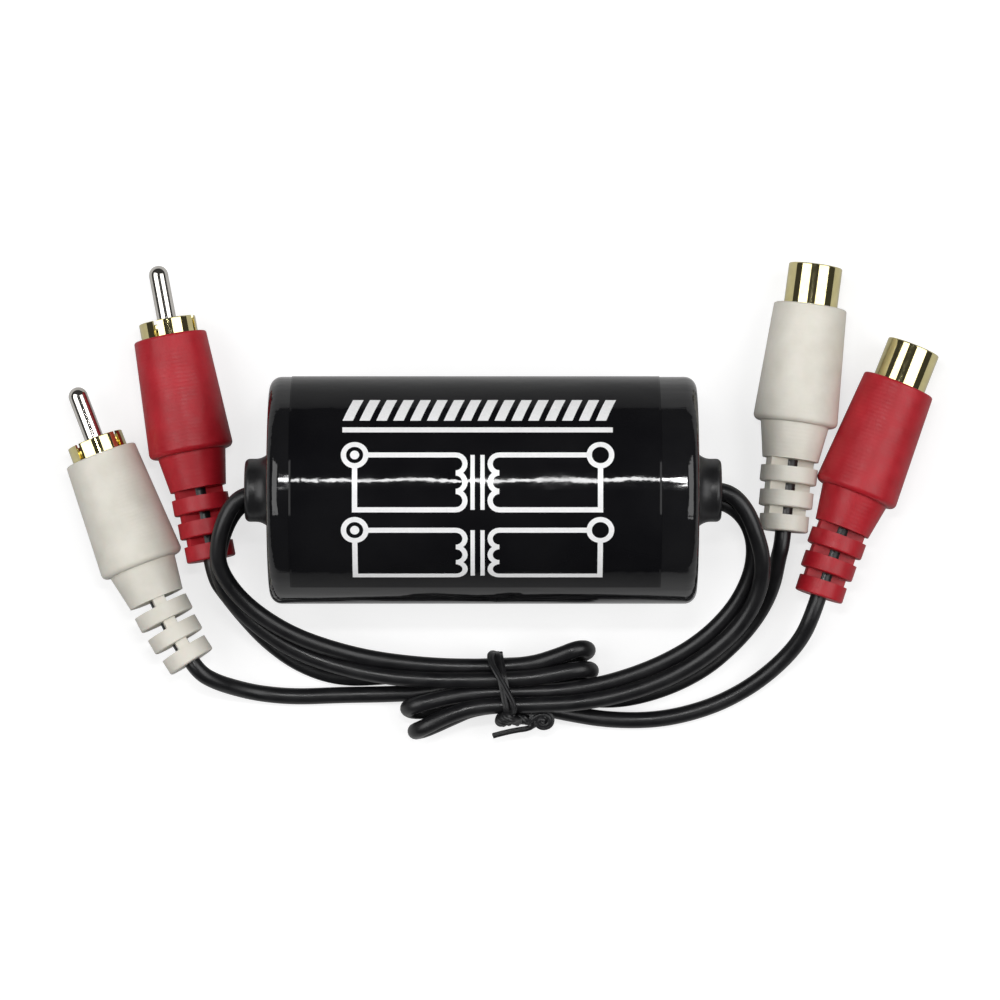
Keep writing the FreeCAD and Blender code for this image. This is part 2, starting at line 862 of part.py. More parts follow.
def contact_joint(tail_radius, tail_end, front_depth):
    """Soldered joint between a contact's tail and the cord."""
    return rod(joint_cup_radius, -joint_cup_end, -front_depth).cut(rod(tail_radius, -tail_end, -front_depth))


def plug_ring(roll):
    """Outer contact of a plug: a cup with a closed back and slots from its mouth."""
    outer = plug_ring_radius
    inner = plug_ring_radius - plug_ring_wall
    profile = [
        (plug_pin_shoulder, -plug_ring_in, 0),
        (outer, -plug_ring_in, plug_ring_edge),
        (outer, plug_ring_out, plug_ring_edge),
        (inner, plug_ring_out, plug_ring_edge),
        (inner, -plug_ring_in + plug_ring_back, 0),
        (plug_pin_shoulder, -plug_ring_in + plug_ring_back, 0),
    ]
    cup = spun(profile)
    for i in range(plug_ring_slots):
        slot = block(
            (inner / 2, -plug_ring_slot_width / 2, plug_ring_out - plug_ring_slot_depth),
            (2 * outer, plug_ring_slot_width / 2, 2 * outer),
        )
        slot.rotate(vector(0, 0, 0), vector(0, 0, 1), (i + 0.5) * 360 / plug_ring_slots - roll)
        cup = cup.cut(slot)
    return cup


def plug_insulator():
    """Insulator between a plug's ring and its pin."""
    back = -plug_ring_in + plug_ring_back
    outer = plug_ring_radius - plug_ring_wall
    profile = [
        (plug_pin_shoulder, -plug_insulator_front, 0),
        (outer, -plug_insulator_front, 0),
        (outer, back, 0),
        (plug_pin_shoulder, back, 0),
    ]
    return spun(profile)


def plug_pin():
    """Centre pin with a round tip, a shoulder held in the insulator and a thin tail."""
    tip = plug_ring_out + plug_pin_out
    round_tip = Part.makeSphere(plug_pin_radius, vector(0, 0, tip - plug_pin_radius))
    profile = [
        (0, -plug_pin_tail, 0),
        (plug_pin_tail_radius, -plug_pin_tail, 0),
        (plug_pin_tail_radius, -plug_ring_in, 0),
        (plug_pin_shoulder, -plug_ring_in, 0),
        (plug_pin_shoulder, -plug_insulator_front, 0),
        (plug_pin_radius, -plug_insulator_front, 0),
        (plug_pin_radius, tip - plug_pin_radius, 0),
        (0, tip - plug_pin_radius, 0),
    ]
    return spun(profile).fuse(round_tip).removeSplitter()


def socket_barrel():
    """Outer contact of a socket: an open tube with a closed back and a thicker root in the boot."""
    outer = socket_barrel_radius
    inner = socket_barrel_radius - socket_barrel_wall
    profile = [
        (plug_pin_shoulder, -socket_barrel_in, 0),
        (socket_root_radius, -socket_barrel_in, 0),
        (socket_root_radius, 0, 0),
        (outer, 0, 0),
        (outer, socket_barrel_out, socket_barrel_edge),
        (inner, socket_barrel_out, socket_barrel_edge),
        (inner, -socket_barrel_in + plug_ring_back, 0),
        (plug_pin_shoulder, -socket_barrel_in + plug_ring_back, 0),
    ]
    return spun(profile)


def socket_contact():
    """Split tube that grips a plug's pin, with a closed back and a tail."""
    outer = socket_contact_bore + socket_contact_wall
    back = socket_contact_front - socket_contact_depth
    profile = [
        (0, -socket_contact_tail, 0),
        (plug_pin_tail_radius, -socket_contact_tail, 0),
        (plug_pin_tail_radius, -socket_barrel_in, 0),
        (outer, -socket_barrel_in, 0),
        (outer, socket_contact_front, 0),
        (socket_contact_bore, socket_contact_front, 0),
        (socket_contact_bore, back, 0),
        (0, back, 0),
    ]
    slit = block(
        (-2 * outer, -socket_contact_slit / 2, socket_contact_front - socket_contact_slit_depth),
        (2 * outer, socket_contact_slit / 2, socket_contact_front),
    )
    slit.rotate(vector(0, 0, 0), vector(0, 0, 1), socket_contact_slit_turn)
    return spun(profile).cut(slit)


def socket_insulator():
    """Insulator that fills a socket's barrel round its contact."""
    back = -socket_barrel_in + plug_ring_back
    outer = socket_barrel_radius - socket_barrel_wall
    inner = socket_contact_bore + socket_contact_wall
    profile = [
        (socket_contact_bore + socket_mouth_clearance, socket_insulator_front, 0),
        (outer, socket_insulator_front, 0),
        (outer, back, 0),
        (inner, back, 0),
        (inner, socket_contact_front, 0),
        (socket_contact_bore + socket_mouth_clearance, socket_contact_front, 0),
    ]
    return spun(profile)


def strip_section(place, along, size, turn):
    """Rectangle across a line at a place, turned about the line."""
    flat = along.cross(vector(0, 0, 1))
    flat.normalize()
    upright = flat.cross(along)
    upright.normalize()
    angle = math.radians(turn)
    wide = flat * math.cos(angle) + upright * math.sin(angle)
    thin = upright * math.cos(angle) - flat * math.sin(angle)
    corners = []
    for sx, sy in rectangle_signs:
        corners.append(place + wide * (sx * size[0] / 2) + thin * (sy * size[1] / 2))
    return Part.makePolygon(corners + corners[:1])


def strip(start, end, size, turns, steps):
    """Straight strip from one place to another, twisted by some turns."""
    start = vector(*start)
    along = vector(*end) - start
    count = max(1, round(turns * steps))
    sections = []
    for i in range(count + 1):
        share = i / count
        sections.append(strip_section(start + along * share, along, size, 360 * turns * share))
    return Part.makeLoft(sections, True, True)


def tie_band():
    """Band round the strands: upright across X, then cut on a slant as it is pulled."""
    back, second, third, front = tie_columns
    circles = [
        (back[0], back[1], cord_radius),
        (back[0], back[2], cord_radius),
        (second[0], second[2], cord_radius),
        (front[0], front[2], cord_radius),
        (front[0], front[1], cord_radius),
        (third[0], third[1], cord_radius),
    ]
    ring = hull_face(circles, tie_gap + tie_thickness).cut(hull_face(circles, tie_gap))
    reach = back[0] - front[0]
    ring = ring.extrude(vector(2 * reach, 0, 0)).translated(vector(tie_place - reach, 0, 0))
    middle = (back[0] + front[0]) / 2
    slanted = block((-tie_width / 2, -2 * reach, -reach), (tie_width / 2, 2 * reach, 2 * reach))
    slanted.rotate(vector(0, 0, 0), vector(0, 0, 1), tie_slant)
    return ring.common(slanted.translated(vector(tie_place, middle, 0)))


def twist_tie():
    """Tie with its two ends twisted together, one curled up and one left as a tail."""
    twist = strip(tie_twist_start, tie_twist_end, tie_twist_size, tie_twist_turns, tie_twist_steps)
    curl = Part.makeTorus(tie_curl_radius, tie_curl_wire, vector(*tie_curl_place), vector(*tie_curl_axis))
    tail = strip(tie_tail_start, tie_tail_end, tie_tail_size, 0, 1)
    return tie_band().multiFuse([twist, curl, tail])


def plug_pieces(roll, bend):
    return {
        "pin": plug_pin(),
        "ring": plug_ring(roll),
        "insulator": plug_insulator(),
        "boot": boot(plug_ring_radius, plug_ring_in, roll, bend),
        "joint": contact_joint(plug_pin_tail_radius, plug_pin_tail, plug_ring_in),
        "cord_end": relief_core(cord_radius, bend),
    }


def socket_pieces(roll, bend):
    return {
        "contact": socket_contact(),
        "barrel": socket_barrel(),
        "insulator": socket_insulator(),
        "boot": boot(socket_root_radius, socket_barrel_in, roll, bend),
        "joint": contact_joint(plug_pin_tail_radius, socket_contact_tail, socket_barrel_in),
        "cord_end": relief_core(cord_radius, bend),
    }


def housing_nodes():
    return {
        "case_lower": case_lower(),
        "case_upper": case_upper(),
        "shrink_sleeve": shrink_sleeve(),
        "face_label": face_label(),
        "circuit_board": circuit_board(),
        "solder_joints": solder_joints(),
    }


def transformer_nodes():
    nodes = {}
    for name, centre in zip(("white", "red"), transformer_centres()):
        first = bobbin_wall
        second = first + primary_build
        third = second + secondary_build
        last = third + tape_build
        nodes[name + "_transformer_core"] = transformer_core(centre)
        nodes[name + "_transformer_bobbin"] = transformer_bobbin(centre)
        nodes[name + "_transformer_pins"] = transformer_pins(centre)
        nodes[name + "_primary_winding"] = winding(centre, first, second)
        nodes[name + "_secondary_winding"] = winding(centre, second, third)
        nodes[name + "_winding_tape"] = winding(centre, third, last)
    return nodes


def lead_nodes(routes):
    return {
        "input_lead_white": inner_lead(routes["input_cord_white"]),
        "input_lead_red": inner_lead(routes["input_cord_red"]),
        "output_lead_white": inner_lead(routes["output_cord_white"]),
        "output_lead_red": inner_lead(routes["output_cord_red"]),
        "input_cable_tie": cable_tie((routes["input_cord_red"], routes["input_cord_white"])),
        "output_cable_tie": cable_tie((routes["output_cord_red"], routes["output_cord_white"])),
    }


def connector_places():
    return {
        "white_plug": connector_placement(white_plug_front, white_plug_lean),
        "red_plug": connector_placement(red_plug_front, red_plug_lean),
        "white_socket": connector_placement(white_socket_front, white_socket_lean),
        "red_socket": connector_placement(red_socket_front, red_socket_lean),
    }


def relief_ends(places):
    """Place of the end of each relief, local +Z forward."""
    bends = {
        "white_plug": white_plug_bend,
        "red_plug": red_plug_bend,
        "white_socket": white_socket_bend,
        "red_socket": red_socket_bend,
    }
    ends = {}
    for name, place in places.items():
        ends[name] = place.multiply(relief_placement(bends[name], relief_length))
    return ends


def connector_nodes(places):
    pieces = {
        "white_plug": plug_pieces(white_plug_roll, white_plug_bend),
        "red_plug": plug_pieces(red_plug_roll, red_plug_bend),
        "white_socket": socket_pieces(white_socket_roll, white_socket_bend),
        "red_socket": socket_pieces(red_socket_roll, red_socket_bend),
    }
    nodes = {}
    for name, placement in places.items():
        for piece, shape in pieces[name].items():
            nodes[name + "_" + piece] = placed(shape, placement)
    return nodes


def cord_routes(ends):
    """All points of the four free cords."""
    cords = {
        "input_cord_red": (-1, input_red_collar, input_red_route, "red_plug"),
        "input_cord_white": (-1, input_white_collar, input_white_route, "white_plug"),
        "output_cord_white": (1, output_white_collar, output_white_route, "white_socket"),
        "output_cord_red": (1, output_red_collar, output_red_route, "red_socket"),
    }
    routes = {}
    for (name, (side, collar, route, connector)), run in zip(cords.items(), cord_run_to_boot):
        routes[name] = whole_route(side, collar, route, ends[connector], run)
    return routes


def cord_nodes(routes):
    """The four free cords, with what each measures printed."""
    nodes = {}
    for name, route in routes.items():
        tube, length, radii = cord_tube(route, cord_radius)
        expected = round(math.pi * cord_radius ** 2 * length, 1)
        print(name, "length", round(length, 1), "volume", round(tube.Volume, 1), "expected", expected)
        print("  bend radii", [round(radius, 1) for radius in radii])
        nodes[name] = tube
    return nodes


def main():
    os.makedirs("parts", exist_ok=True)
    places = connector_places()
    routes = cord_routes(relief_ends(places))
    nodes = {}
    nodes.update(housing_nodes())
    nodes.update(transformer_nodes())
    nodes.update(lead_nodes(routes))
    nodes.update(connector_nodes(places))
    nodes.update(cord_nodes(routes))
    nodes["twist_tie"] = twist_tie()
    for name, shape in nodes.items():
        shape.exportStep("parts/" + name + ".step")
        print(name, "solids", len(shape.Solids), "valid", shape.isValid(), "volume", round(shape.Volume, 1))
    print(len(nodes), "nodes")


main()
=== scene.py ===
import math

import bmesh
import bpy
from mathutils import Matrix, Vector


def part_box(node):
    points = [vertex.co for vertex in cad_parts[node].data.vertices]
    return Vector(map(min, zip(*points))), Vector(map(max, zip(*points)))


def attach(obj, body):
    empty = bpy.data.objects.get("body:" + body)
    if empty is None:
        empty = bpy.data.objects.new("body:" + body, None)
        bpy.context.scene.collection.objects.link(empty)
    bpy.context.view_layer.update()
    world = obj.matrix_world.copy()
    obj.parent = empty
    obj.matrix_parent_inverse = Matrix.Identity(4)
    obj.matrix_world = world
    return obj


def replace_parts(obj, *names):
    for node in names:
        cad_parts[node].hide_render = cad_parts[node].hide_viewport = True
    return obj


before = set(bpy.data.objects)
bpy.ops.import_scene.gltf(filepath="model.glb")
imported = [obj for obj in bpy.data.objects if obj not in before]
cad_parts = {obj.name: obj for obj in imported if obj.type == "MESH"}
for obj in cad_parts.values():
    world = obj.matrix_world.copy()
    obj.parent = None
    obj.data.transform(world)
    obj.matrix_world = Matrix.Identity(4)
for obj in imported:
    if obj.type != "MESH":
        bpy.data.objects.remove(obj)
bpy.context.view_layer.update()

# Lengths are in metres, as in the frame. mm turns a size in millimetres into metres.
mm = 0.001

# The housing, measured on the frame
sleeve_low, sleeve_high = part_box("shrink_sleeve")
label_low, label_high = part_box("face_label")
housing_axis = (sleeve_high.z + sleeve_low.z) / 2
label_radius = label_high.z - housing_axis

# Cords: radius, and the points of each route in millimetres, from its collar to its boot
cord_radius = 1.28 * mm
cord_routes = {
    "input_cord_red": (
        (-33.7, -0.5, 18.8), (-36.2, -0.5, 18.8),
        (-38.4, -1.9, 18.8), (-39.9, -4.6, 18.4), (-40.9, -8.0, 17.3), (-41.0, -11.6, 15.95),
        (-38.8, -15.5, 13.6), (-35.3, -19.0, 11.2), (-30.0, -22.35, 9.9), (-23.9, -24.65, 8.6),
        (-17.0, -26.4, 6.8), (-8.5, -27.4, 5.9), (-1.0, -27.6, 5.6), (7.0, -27.35, 5.6),
        (11.6, -25.9, 6.6), (15.0, -24.5, 7.1), (16.7, -24.9, 4.25), (15.3, -25.9, 1.4),
        (11.6, -26.8, 1.5), (7.0, -27.4, 2.2), (-1.0, -27.6, 2.2), (-8.0, -28.3, 1.7),
        (-15.5, -29.25, 1.4), (-22.6, -29.5, 1.4), (-28.8, -27.4, 1.4), (-33.9, -23.7, 1.5),
        (-37.6, -19.6, 3.0), (-40.2, -16.1, 6.0),
        (-41.82, -13.73, 7.75), (-42.38, -10.78, 7.59),
    ),
    "input_cord_white": (
        (-33.7, -1.5, 16.4), (-36.2, -1.5, 16.4),
        (-38.2, -2.9, 16.1), (-39.8, -5.6, 15.4), (-40.9, -9.0, 14.05), (-41.25, -12.8, 12.5),
        (-39.5, -16.9, 10.3), (-35.6, -20.8, 8.5), (-30.2, -24.65, 7.1), (-24.0, -27.15, 7.0),
        (-16.5, -28.9, 7.3), (-9.0, -29.6, 7.2), (-1.0, -29.6, 7.3), (7.0, -29.4, 7.25),
        (11.8, -28.5, 7.3), (15.5, -27.8, 7.1), (17.2, -28.1, 4.25), (15.8, -29.1, 1.4),
        (11.6, -29.7, 2.0), (7.0, -29.45, 3.8), (-1.0, -29.6, 3.9), (-8.0, -31.6, 2.2),
        (-15.0, -32.0, 1.4), (-22.5, -32.1, 1.4), (-29.5, -32.4, 1.4), (-34.9, -31.9, 1.7),
        (-38.6, -31.0, 3.6), (-42.0, -29.8, 6.3),
        (-44.35, -28.32, 7.68), (-45.4, -26.74, 7.58),
    ),
    "output_cord_white": (
        (33.7, -1.5, 16.4), (36.2, -1.5, 16.4),
        (39.2, -2.9, 16.0), (41.2, -5.5, 15.4), (42.1, -9.0, 14.3), (41.5, -13.4, 12.6),
        (38.9, -18.5, 10.7), (34.0, -23.5, 9.0), (27.5, -27.3, 7.5), (19.6, -30.1, 6.5),
        (12.5, -31.3, 5.7), (7.0, -31.5, 5.6), (-1.0, -31.6, 5.6), (-6.0, -32.3, 6.4),
        (-10.5, -33.5, 7.1), (-12.2, -34.1, 4.25), (-10.4, -34.8, 1.4), (-6.0, -33.9, 1.5),
        (-1.0, -31.6, 2.2), (7.0, -31.5, 2.2), (13.5, -32.3, 1.6), (20.5, -33.1, 1.4),
        (27.7, -31.5, 1.4), (34.3, -28.4, 1.4), (39.2, -24.3, 1.4), (42.8, -20.1, 1.9),
        (45.2, -15.4, 4.2), (46.0, -10.6, 7.0),
        (46.56, -8.36, 7.7), (46.74, -6.38, 7.59),
    ),
    "output_cord_red": (
        (33.7, 0.1, 18.75), (36.2, 0.1, 18.75),
        (38.7, -0.8, 18.8), (40.8, -3.4, 18.5), (42.2, -6.9, 17.6), (43.25, -10.7, 16.2),
        (43.0, -14.6, 14.4), (41.5, -18.6, 12.7), (38.4, -22.8, 11.1), (32.3, -27.6, 9.3),
        (24.6, -31.1, 8.3), (16.0, -33.1, 7.7), (7.0, -33.5, 7.3), (-1.0, -33.6, 7.3),
        (-5.6, -35.1, 7.45), (-9.5, -37.1, 7.1), (-11.0, -37.8, 4.25), (-9.3, -37.6, 1.4),
        (-5.6, -35.9, 2.5), (-1.0, -33.8, 3.8), (7.0, -33.5, 3.9), (13.0, -34.9, 2.6),
        (20.0, -36.1, 1.4), (28.0, -36.0, 1.4), (35.5, -34.1, 1.4), (41.5, -31.1, 1.6),
        (46.2, -27.4, 2.8), (49.6, -23.4, 5.4),
        (51.33, -19.4, 7.75), (52.25, -16.55, 7.59),
    ),
}

# Connectors: the way that each points
connector_axes = {
    "white_plug": (-0.3595, 0.9316, -0.0536),
    "red_plug": (-0.1854, 0.9812, -0.0536),
    "white_socket": (0.1338, 0.9896, -0.0536),
    "red_socket": (0.3725, 0.9265, -0.0536),
}

# Twist tie: the strands that its first turn goes round (y, z) in millimetres, from the back over
# the top to the front, where that turn crosses their middle (x, y), how far it leans and lies off
# them, and its section: half its width, the thickness of its wings and the radius of its wire
tie_strands = ((-27.5, 2.2), (-27.5, 5.6), (-29.5, 7.3), (-33.5, 7.3), (-33.5, 3.9), (-31.5, 2.2))
tie_middle = (3.2, -30.5)
tie_lean = math.radians(11)
tie_lift = 0.45 * mm
tie_wing = 0.8 * mm
tie_wing_thickness = 0.46 * mm
tie_wire = 0.45 * mm

# Its second turn, as points in millimetres: one half comes over the strands and one half under
# them. They meet at the front and twist round each other along the knot, whose way out at its
# start is tie_knot_face. One end is left as a tail that stands on its edge, and the other is
# folded flat on itself.
tie_knot = (
    (5.0, -35.0, 9.0), (3.9, -35.4, 8.9), (2.8, -35.7, 8.0), (2.8, -35.9, 6.5),
    (4.0, -35.7, 5.9), (5.5, -35.6, 5.8), (7.0, -35.6, 5.8),
)
tie_knot_face = (0, -0.3, 1)
tie_knot_radius = 0.7
tie_knot_turns = 3.2
tie_knot_steps = 26
tie_halves = {
    "tail": {
        "phase": math.radians(60),
        "lead": (
            (2.3, -25.8, 3.0), (1.8, -25.6, 5.2), (1.2, -25.8, 7.2), (1.2, -26.8, 8.8),
            (2.1, -28.4, 9.8), (3.5, -30.8, 10.0), (4.8, -33.2, 10.0),
        ),
        "rest": (
            (8.0, -36.4, 5.2), (7.3, -37.2, 4.6), (5.2, -37.5, 4.4), (3.3, -37.9, 4.3),
            (1.5, -38.4, 4.1),
        ),
        "face": (0, -1, 0.25),
    },
    "fold": {
        "phase": math.radians(240),
        "lead": (
            (2.3, -25.6, 2.6), (2.2, -26.2, 0.6), (2.6, -28.5, 0.55), (3.6, -31.8, 0.55),
            (4.6, -33.6, 0.9), (5.1, -35.3, 2.4), (5.3, -35.9, 4.6), (5.3, -36.6, 6.8),
        ),
        "rest": (
            (8.3, -35.2, 6.1), (9.3, -34.9, 6.1), (10.4, -35.4, 5.9), (10.3, -36.5, 5.6),
            (9.2, -36.8, 5.5), (8.5, -36.2, 5.7), (8.9, -35.6, 6.0), (9.7, -35.9, 6.2),
        ),
        "face": (0, 0, 1),
    },
}

# The label's rounded edge, and how long the sleeve's wrinkles reach in from its ends
label_edge = 0.3 * mm
label_edge_drop = label_edge / 4
wrinkled_length = 4 * mm

# The turned lines that the mould leaves across the boots
boot_line_pitch = 0.62 * mm
boot_line_depth = 0.011 * mm

# Print on the label, as places on the unrolled label in millimetres: x along it, and s round it
# from its highest line towards the back
print_lift = 0.02 * mm
print_step = 0.5 * mm
print_centre = -0.8

# The print's heading: a band of slanted bars, each filling a share of its pitch, over a line
bars_middle = 13.5
bars_length = 41
bars_height = 4.4
bars_count = 16
bar_share = 0.62
bar_slant = 0.35 * bars_height
heading_line = 9.6
heading_line_width = 0.9

# The print's diagrams: the middle of each channel, and how far its marks lie from that middle
channel_middles = (1.2, -10.4)
diagram_reach = 4.2
core_reach = 0.75
winding_reach = 3.3
winding_pitch = 2.8
connector_reach = 18.6
connector_mark_radius = 1.7
plug_dot_radius = 0.7
stroke = 0.8
core_stroke = 0.65

# Floor and room: what they look like, and how much they glow where they are seen or mirrored
floor_size = 3.0
floor_shades = ((0.39, 0.39, 0.39), (0.41, 0.41, 0.41))
floor_glow_seen = 0.71
floor_glow_mirrored = 0.16
room_glow_seen = 1.0
room_glow_cast = 0.05

# Lamps, with their power in watts, and camera
box_place = (0.62, 0.04, 0.79)
box_size = (0.9, 0.76)
box_power = 5.9
narrow_lamp_place = (-0.0003, 0.0682, 0.4)
narrow_lamp_target = (0, 0, 0.035)
narrow_lamp_size = (0.085, 0.019)
narrow_lamp_power = 0.32
camera_place = (2.6 * mm, -1.5 * mm, 917 * mm)
camera_lens = 210


def new_object(name, data):
    """An object with this data, in the scene."""
    made = bpy.data.objects.new(name, data)
    bpy.context.scene.collection.objects.link(made)
    return made


def shader_tree(name):
    """A new material with its nodes and its surface shader."""
    material = bpy.data.materials.new(name)
    material.use_nodes = True
    tree = material.node_tree
    return material, tree, tree.nodes["Principled BSDF"]


def set_values(shader, **values):
    """Sets sockets of a shader by their names, with underscores for spaces."""
    for name, value in values.items():
        shader.inputs[name.replace("_", " ")].default_value = value


def link_outputs(tree, shader, **outputs):
    """Links outputs to sockets of a shader, named in the same way."""
    for name, output in outputs.items():
        tree.links.new(output, shader.inputs[name.replace("_", " ")])


def node(tree, kind, **settings):
    """Adds a node with these settings."""
    made = tree.nodes.new(kind)
    for name, value in settings.items():
        setattr(made, name, value)
    return made


def place_of(tree):
    """The point being shaded, in metres in the frame."""
    return node(tree, "ShaderNodeTexCoord").outputs["Object"]


def x_of(tree, point):
    """How far along the housing a point lies."""
    apart = node(tree, "ShaderNodeSeparateXYZ")
    tree.links.new(point, apart.inputs["Vector"])
    return apart.outputs["X"]


def drawn_out(tree, point, share):
    """The point with its x scaled by a share, which draws a pattern out along the housing."""
    mapping = node(tree, "ShaderNodeMapping", vector_type="TEXTURE")
    mapping.inputs["Scale"].default_value = (1 / share, 1, 1)
    tree.links.new(point, mapping.inputs["Vector"])
    return mapping.outputs["Vector"]


def noise(tree, point, size, detail=3.0, roughness=0.5):
    """Noise whose features are about this large."""
    made = node(tree, "ShaderNodeTexNoise")
    made.inputs["Scale"].default_value = 1 / size
    made.inputs["Detail"].default_value = detail
    made.inputs["Roughness"].default_value = roughness
    tree.links.new(point, made.inputs["Vector"])
    return made.outputs["Fac"]


def math_of(tree, operation, first, second=None):
    """One step of arithmetic on outputs or numbers."""
    made = node(tree, "ShaderNodeMath", operation=operation)
    for socket, value in zip(made.inputs, (first, second)):
        if value is None:
            continue
        if isinstance(value, (int, float)):
            socket.default_value = value
        else:
            tree.links.new(value, socket)
    return made.outputs["Value"]


def mapped(tree, value, low, high, from_low=0.3, from_high=0.7):
    """A value taken from one range to another. The first range is the one that noise mostly fills."""
    made = node(tree, "ShaderNodeMapRange")
    tree.links.new(value, made.inputs["Value"])
    made.inputs["From Min"].default_value = from_low
    made.inputs["From Max"].default_value = from_high
    made.inputs["To Min"].default_value = low
    made.inputs["To Max"].default_value = high
    return made.outputs["Result"]


def blended(tree, share, first, second):
    """Colour between two colours."""
    made = node(tree, "ShaderNodeMix", data_type="RGBA")
    tree.links.new(share, made.inputs["Factor"])
    for name, colour in (("A", first), ("B", second)):
        socket = [s for s in made.inputs if s.name == name and s.type == "RGBA"][0]
        socket.default_value = (*colour, 1)
    return [s for s in made.outputs if s.type == "RGBA"][0]


def bumped(tree, height, distance, after=None):
    """Normal bent by a height from 0 to 1 that stands for this distance."""
    made = node(tree, "ShaderNodeBump")
    made.inputs["Distance"].default_value = distance
    tree.links.new(height, made.inputs["Height"])
    if after is not None:
        tree.links.new(after, made.inputs["Normal"])
    return made.outputs["Normal"]


def uneven(tree, point, size, depth, detail=2.0, after=None):
    """Normal bent by soft bumps of about this size and depth."""
    return bumped(tree, noise(tree, point, size, detail), depth, after)


def normal_of(shader):
    """The normal that a shader has so far."""
    return shader.inputs["Normal"].links[0].from_socket


def distance_along(tree, point, axis):
    """How far the point lies along an axis, in metres."""
    made = node(tree, "ShaderNodeVectorMath", operation="DOT_PRODUCT")
    made.inputs[1].default_value = axis
    tree.links.new(point, made.inputs[0])
    return made.outputs["Value"]


def varied(tree, point, size, most):
    """A number that varies softly by up to this much either way."""
    return mapped(tree, noise(tree, point, size, detail=2), -most, most)


def ridges(tree, distance, pitch, wobble):
    """Height from 0 to 1 that rises and falls once in each pitch, shifted by a wobble in radians."""
    turns = math_of(tree, "MULTIPLY", distance, 2 * math.pi / pitch)
    wave = math_of(tree, "SINE", math_of(tree, "ADD", turns, wobble))
    return mapped(tree, wave, 0, 1, from_low=-1, from_high=1)


def plastic(name, dark, light, rough, grain, grain_depth, cloud=6 * mm):
    """Moulded plastic: a slightly uneven colour and gloss over a fine grain."""
    material, tree, shader = shader_tree(name)
    point = place_of(tree)
    clouds = mapped(tree, noise(tree, point, cloud, detail=4), 0, 1)
    link_outputs(
        tree,
        shader,
        Base_Color=blended(tree, clouds, dark, light),
        Roughness=mapped(tree, noise(tree, point, cloud / 2), *rough),
        Normal=bumped(tree, noise(tree, point, grain, detail=4, roughness=0.6), grain_depth),
    )
    return material, tree, shader


def plain(name, **look):
    """Moulded plastic with nothing added to it."""
    material, _, _ = plastic(name, **look)
    return material


def metal(name, dark, light, rough):
    """Plated metal, a little duller in places."""
    material, tree, shader = shader_tree(name)
    point = place_of(tree)
    clouds = mapped(tree, noise(tree, point, 1.5 * mm, detail=4), 0, 1)
    link_outputs(
        tree,
        shader,
        Base_Color=blended(tree, clouds, dark, light),
        Roughness=mapped(tree, noise(tree, point, 0.8 * mm, detail=4), *rough),
    )
    set_values(shader, Metallic=1.0)
    return material


def striped_with_painted_shade(name, dark, light, rough, axis, pitch, depth):
    """Metal with lines of this pitch along an axis, as wires or laminations side by side, with
    painted shade that darkens the groove between each two and lightens each crest.
    """
    material, tree, shader = shader_tree(name)
    point = place_of(tree)
    wobble = varied(tree, point, 3 * mm, 0.6)
    # painted shade: the colour follows the same ridges as the bump, dark in each groove and light on
    # each crest
    stripes_and_painted_shade = ridges(tree, distance_along(tree, point, axis), pitch, wobble)
    link_outputs(
        tree,
        shader,
        Base_Color=blended(tree, stripes_and_painted_shade, dark, light),
        Roughness=mapped(tree, noise(tree, point, 2 * mm), *rough),
        Normal=bumped(tree, stripes_and_painted_shade, depth),
    )
    set_values(shader, Metallic=1.0)
    return material


def sleeve_material():
    """Glossy shrunk PVC: long soft waves, and small wrinkles where it turns over the ends."""
    material, tree, shader = plastic(
        "sleeve_pvc",
        dark=(0.005, 0.005, 0.006),
        light=(0.009, 0.009, 0.01),
        rough=(0.05, 0.11),
        grain=0.35 * mm,
        grain_depth=0.003 * mm,
        cloud=9 * mm,
    )
    point = place_of(tree)
    waves = uneven(tree, drawn_out(tree, point, 0.35), 5 * mm, 0.14 * mm, after=normal_of(shader))
    half = (sleeve_high.x - sleeve_low.x) / 2
    from_middle = math_of(tree, "ABSOLUTE", x_of(tree, point))
    near_end = mapped(tree, from_middle, 0, 1, from_low=half - wrinkled_length, from_high=half)
    wrinkles = noise(tree, drawn_out(tree, point, 0.12), 1.3 * mm, detail=2)
    height = math_of(tree, "MULTIPLY", wrinkles, near_end)
    link_outputs(tree, shader, Normal=bumped(tree, height, 0.07 * mm, after=waves))
    return material


def label_waves(tree, point, depth):
    """Normal bent by the long waves in which the label lies on the sleeve."""
    return uneven(tree, drawn_out(tree, point, 0.55), 7 * mm, depth, detail=1.5)


def label_material():
    """Glossy black laminate, lying a little unevenly on the sleeve, with rounded edges."""
    material, tree, shader = shader_tree("label_laminate")
    point = place_of(tree)
    clouds = mapped(tree, noise(tree, point, 12 * mm), 0, 1)
    waves = label_waves(tree, point, 0.12 * mm)
    ripples = uneven(tree, point, 1.7 * mm, 0.02 * mm, after=waves)
    middle = (label_low.x + label_high.x) / 2
    half = (label_high.x - label_low.x) / 2
    from_middle = math_of(tree, "ABSOLUTE", math_of(tree, "SUBTRACT", x_of(tree, point), middle))
    rounded = mapped(tree, from_middle, 1, 0, from_low=half - label_edge, from_high=half)
    link_outputs(
        tree,
        shader,
        Base_Color=blended(tree, clouds, (0.004, 0.004, 0.005), (0.008, 0.008, 0.009)),
        Roughness=mapped(tree, noise(tree, point, 4 * mm, detail=5), 0.04, 0.09),
        Normal=bumped(tree, rounded, label_edge_drop, after=ripples),
    )
    set_values(shader, Specular_IOR_Level=0.18)
    return material


